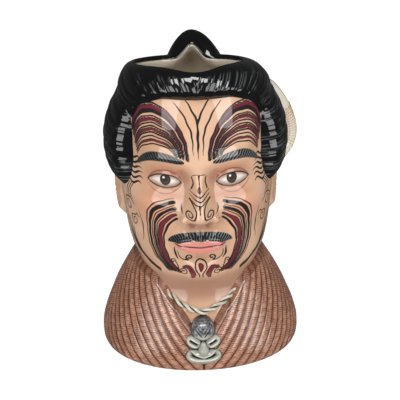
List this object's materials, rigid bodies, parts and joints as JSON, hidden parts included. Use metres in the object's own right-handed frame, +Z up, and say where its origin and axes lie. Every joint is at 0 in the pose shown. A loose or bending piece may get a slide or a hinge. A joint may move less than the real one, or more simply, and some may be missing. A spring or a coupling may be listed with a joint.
{
  "type": "character jug",
  "caption": "Hollow ceramic jug shaped as a man's head with a topknot, a pleated cloak and a pendant, with a loop handle behind.",
  "frame": {"origin": "middle of the flat underside, on the surface that the jug stands on", "axes": "+Z up, the face looks along -Y, the handle is on the +X side towards the back"},
  "size_m": [0.1247, 0.1191, 0.1764],
  "materials": {
    "painted_glaze": "hand-painted under a clear gloss glaze",
    "hair_glaze": "black gloss glaze",
    "cloak_glaze": "brown gloss glaze, darker in the grooves",
    "skin_glaze": "flesh-coloured gloss glaze with painted lines",
    "cream_glaze": "cream gloss glaze",
    "silver_glaze": "grey glaze, pale on the ridges and dark in the hollows"
  },
  "bodies": {
    "root": {"jug": "painted_glaze"}
  },
  "joints": []
}
